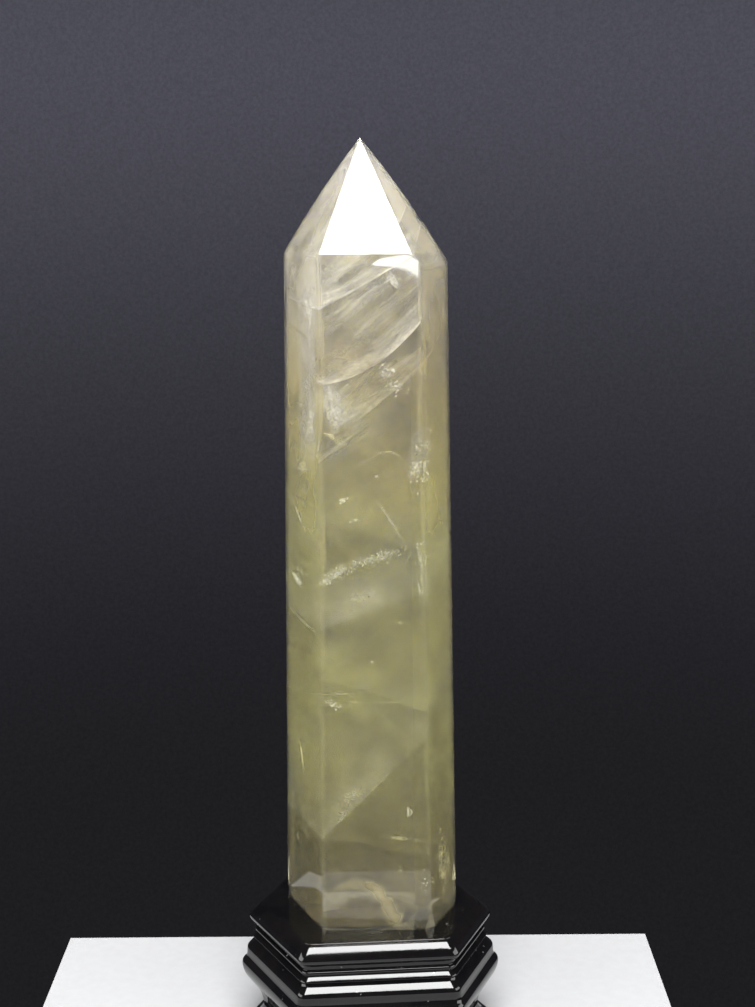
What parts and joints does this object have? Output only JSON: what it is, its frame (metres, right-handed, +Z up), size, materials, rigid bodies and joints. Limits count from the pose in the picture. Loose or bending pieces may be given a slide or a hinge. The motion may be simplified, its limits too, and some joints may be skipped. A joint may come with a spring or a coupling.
{
  "type": "citrine crystal point on a stand",
  "caption": "Polished translucent citrine column with a pyramid tip, standing upright in a fitted black lacquered wooden stand.",
  "frame": {"origin": "centre of the stand's underside, on the surface that it rests on", "axes": "+Z up along the crystal, its widest prism face looking along -Y, +X to that face's right"},
  "size_m": [0.1172, 0.0916, 0.3955],
  "materials": {
    "citrine": "polished, cloudy translucent, with veils and flakes inside",
    "black_lacquer": "high gloss black lacquer over wood"
  },
  "bodies": {
    "root": {"crystal_point": "citrine", "stand_top_plate": "black_lacquer", "stand_neck_tier": "black_lacquer", "stand_base_tier": "black_lacquer", "stand_foot": "black_lacquer"}
  },
  "joints": []
}
